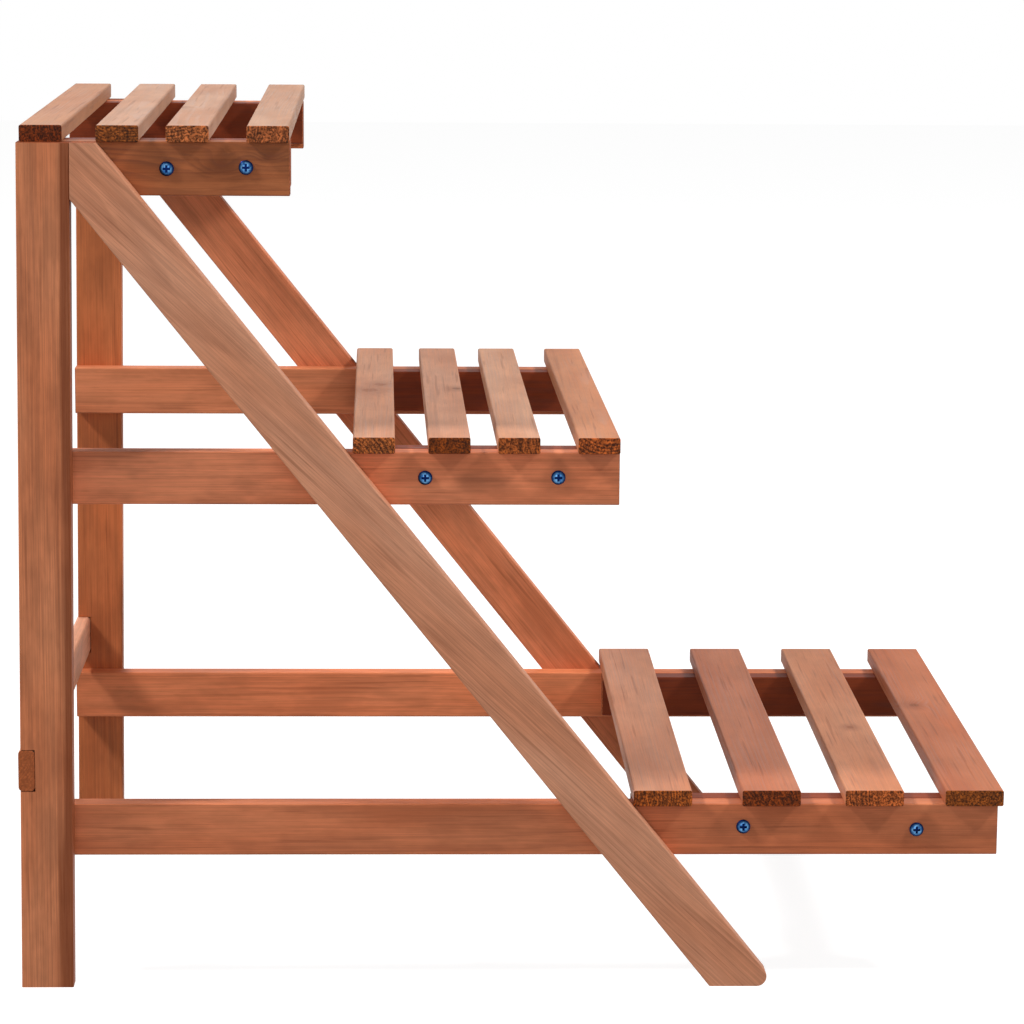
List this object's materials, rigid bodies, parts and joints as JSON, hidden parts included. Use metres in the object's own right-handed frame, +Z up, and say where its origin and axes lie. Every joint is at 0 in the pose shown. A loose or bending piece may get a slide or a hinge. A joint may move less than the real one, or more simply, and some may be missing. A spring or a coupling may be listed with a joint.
{
  "type": "tiered plant stand",
  "caption": "Free-standing wooden stand whose stepped slatted shelves, carried on side frames with sloping braces, hold potted plants in rising tiers.",
  "frame": {"origin": "centre of the overall bounding box in X and Y, at floor level", "axes": "+Z up; the low shelf faces -Y and the posts stand at +Y; +X is to the right of a person who faces the low shelf, along the slats"},
  "size_m": [0.6802, 0.9782, 0.851],
  "materials": {
    "post_wood": "reddish brown impregnated softwood, planed",
    "brace_wood": "pale reddish brown impregnated softwood, planed",
    "rail_wood": "reddish brown impregnated softwood, planed",
    "batten_wood": "reddish brown impregnated softwood, planed",
    "slat_wood": "pinkish tan impregnated softwood with eased edges",
    "crossbar_wood": "pinkish tan impregnated softwood with rounded edges",
    "dowel_wood": "plain turned hardwood",
    "screw_steel": "zinc plated with a blue tint"
  },
  "bodies": {
    "root": {"left_post": "post_wood", "left_brace": "brace_wood", "left_top_rail": "rail_wood", "left_top_batten": "batten_wood", "left_middle_rail": "rail_wood", "left_middle_batten": "batten_wood", "left_bottom_rail": "rail_wood", "left_bottom_batten": "batten_wood", "left_post_dowels": "dowel_wood", "left_brace_dowels": "dowel_wood", "right_post": "post_wood", "right_brace": "brace_wood", "right_top_rail": "rail_wood", "right_top_batten": "batten_wood", "right_middle_rail": "rail_wood", "right_middle_batten": "batten_wood", "right_bottom_rail": "rail_wood", "right_bottom_batten": "batten_wood", "right_post_dowels": "dowel_wood", "right_brace_dowels": "dowel_wood", "top_slat_1": "slat_wood", "top_slat_2": "slat_wood", "top_slat_3": "slat_wood", "top_slat_4": "slat_wood", "top_shelf_screws": "screw_steel", "top_slat_screws": "screw_steel", "middle_slat_1": "slat_wood", "middle_slat_2": "slat_wood", "middle_slat_3": "slat_wood", "middle_slat_4": "slat_wood", "middle_shelf_screws": "screw_steel", "middle_slat_screws": "screw_steel", "bottom_slat_1": "slat_wood", "bottom_slat_2": "slat_wood", "bottom_slat_3": "slat_wood", "bottom_slat_4": "slat_wood", "bottom_shelf_screws": "screw_steel", "bottom_slat_screws": "screw_steel", "crossbar": "crossbar_wood", "crossbar_screws": "screw_steel"}
  },
  "joints": []
}
